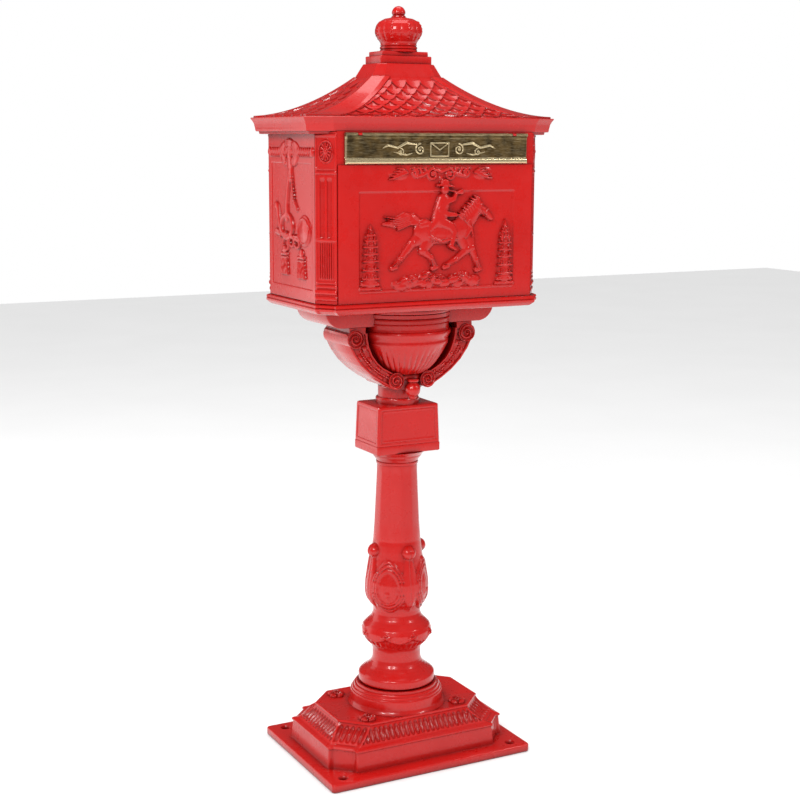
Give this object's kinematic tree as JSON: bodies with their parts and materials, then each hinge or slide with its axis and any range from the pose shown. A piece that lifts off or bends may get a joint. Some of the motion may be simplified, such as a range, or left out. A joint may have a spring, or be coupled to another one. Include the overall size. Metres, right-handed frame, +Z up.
{
  "type": "pedestal mailbox",
  "caption": "Ornate cast pedestal mailbox with a stepped base, turned column, letter box with a pagoda roof, hinged brass letter flap and a locking rear door.",
  "frame": {"origin": "on the ground at the centre of the base plate, on the column's axis", "axes": "+Z up; the letter flap faces -Y and the rear door faces +Y; +X runs to the right of someone facing the flap"},
  "size_m": [0.364, 0.2305, 1.025],
  "materials": {
    "red_paint": "glossy red powder coat on cast aluminium",
    "aged_brass": "dark antique brass with worn bright edges",
    "zinc_steel": "zinc-plated steel",
    "lock_chrome": "chromed zinc",
    "black_rubber": "black foam rubber"
  },
  "bodies": {
    "stand": {"base_plinth": "red_paint", "base_rosettes": "red_paint", "column": "red_paint", "neck_block": "red_paint", "tie_rod": "zinc_steel", "tie_rod_nuts": "zinc_steel", "tie_rod_washers": "zinc_steel", "bowl": "red_paint", "left_scroll_bracket": "red_paint", "right_scroll_bracket": "red_paint", "drop_finials": "red_paint", "saddle": "red_paint", "floor_tray": "red_paint", "tray_screws": "zinc_steel", "post_front_left": "red_paint", "post_front_right": "red_paint", "post_back_left": "red_paint", "post_back_right": "red_paint", "left_side_panel": "red_paint", "right_side_panel": "red_paint", "front_panel": "red_paint", "rider_relief": "red_paint", "tower_reliefs": "red_paint", "crest_relief": "red_paint", "left_horn_relief": "red_paint", "right_horn_relief": "red_paint", "back_frame": "red_paint", "door_gasket": "black_rubber", "hinge_leaves_fixed": "zinc_steel", "hinge_pins": "zinc_steel", "flap_rod": "zinc_steel", "roof": "red_paint", "roof_dowels": "zinc_steel", "finial": "red_paint"},
    "flap": {"letter_flap": "aged_brass"},
    "door": {"rear_door": "red_paint", "hinge_leaves_door": "zinc_steel", "lock_barrel": "lock_chrome", "lock_nut": "zinc_steel"},
    "lock": {"lock_plug": "lock_chrome", "lock_cam": "zinc_steel", "lock_cam_screw": "zinc_steel"}
  },
  "joints": [
    {"name": "letter_flap", "type": "hinge", "parent": "stand", "child": "flap", "pos_m": [0, -0.1117, 0.8583], "axis": [-1, 0, 0], "range_deg": [0, 80]},
    {"name": "door", "type": "hinge", "parent": "stand", "child": "door", "pos_m": [-0.12, 0.0884, 0.7505], "axis": [0, 0, 1], "range_deg": [0, 110]},
    {"name": "lock_plug", "type": "hinge", "parent": "door", "child": "lock", "pos_m": [0.086, 0.085, 0.7505], "axis": [0, 1, 0], "range_deg": [0, 90]}
  ]
}
